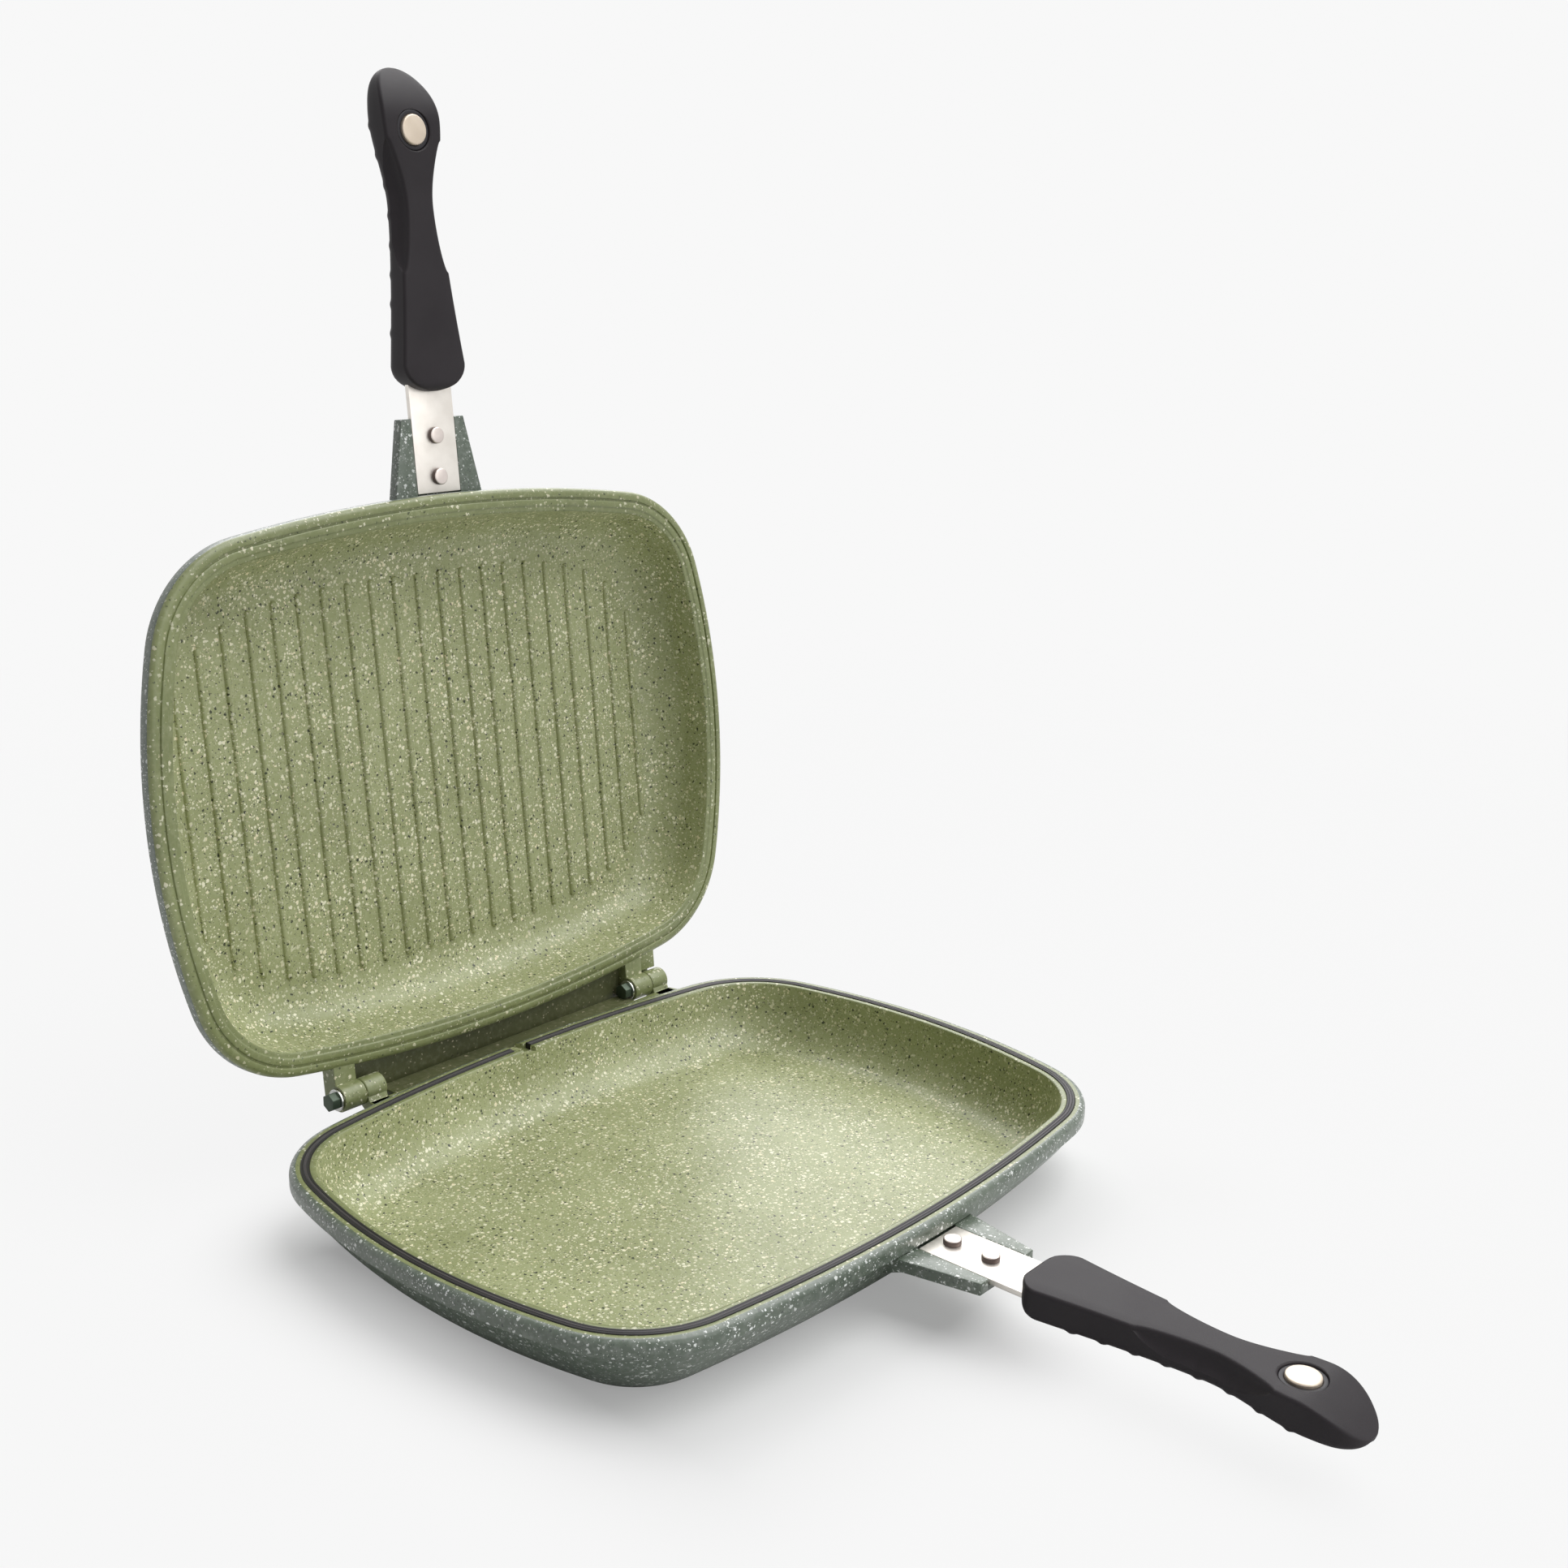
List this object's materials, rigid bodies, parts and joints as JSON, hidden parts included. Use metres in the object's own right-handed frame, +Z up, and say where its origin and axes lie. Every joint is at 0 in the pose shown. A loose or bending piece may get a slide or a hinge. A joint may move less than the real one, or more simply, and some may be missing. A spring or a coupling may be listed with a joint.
{
  "type": "double sided flip pan",
  "caption": "Hinged double sided cooking pan: a flat half and a ribbed half with a gasket between them, each with a riveted strap and a grip held shut by magnets.",
  "frame": {"origin": "middle of the lower half's base, on the surface it rests on", "axes": "+Z up, +X along the hinge line, -Y towards the lower handle, +Y towards the hinge"},
  "size_m": [0.32, 0.4857, 0.4526],
  "materials": {
    "lower_coating": "speckled non-stick coating on cast aluminium",
    "upper_coating": "speckled non-stick coating on cast aluminium",
    "silicone": "satin silicone",
    "steel": "polished stainless steel",
    "rivet_steel": "polished rivet",
    "grip_plastic": "matte heat-proof plastic",
    "screw_steel": "plain steel screw",
    "holder_plastic": "matte black plastic",
    "magnet_nickel": "nickel plated",
    "pin_steel": "steel coated like the pan"
  },
  "bodies": {
    "lower_half": {"lower_pan": "lower_coating", "gasket": "silicone", "lower_strap": "steel", "lower_front_rivet": "rivet_steel", "lower_rear_rivet": "rivet_steel", "lower_grip": "grip_plastic", "lower_grip_screw": "screw_steel", "lower_magnet_holder": "holder_plastic", "lower_magnet": "magnet_nickel", "left_hinge_pin": "pin_steel", "right_hinge_pin": "pin_steel", "left_hinge_washer": "steel", "right_hinge_washer": "steel"},
    "upper_half": {"upper_pan": "upper_coating", "upper_strap": "steel", "upper_front_rivet": "rivet_steel", "upper_rear_rivet": "rivet_steel", "upper_grip": "grip_plastic", "upper_grip_screw": "screw_steel", "upper_magnet_holder": "holder_plastic", "upper_magnet": "magnet_nickel"}
  },
  "joints": [
    {"name": "pan_hinge", "type": "hinge", "parent": "lower_half", "child": "upper_half", "pos_m": [0, 0.127, 0.0334], "axis": [1, 0, 0], "range_deg": [0, 96.4]}
  ]
}
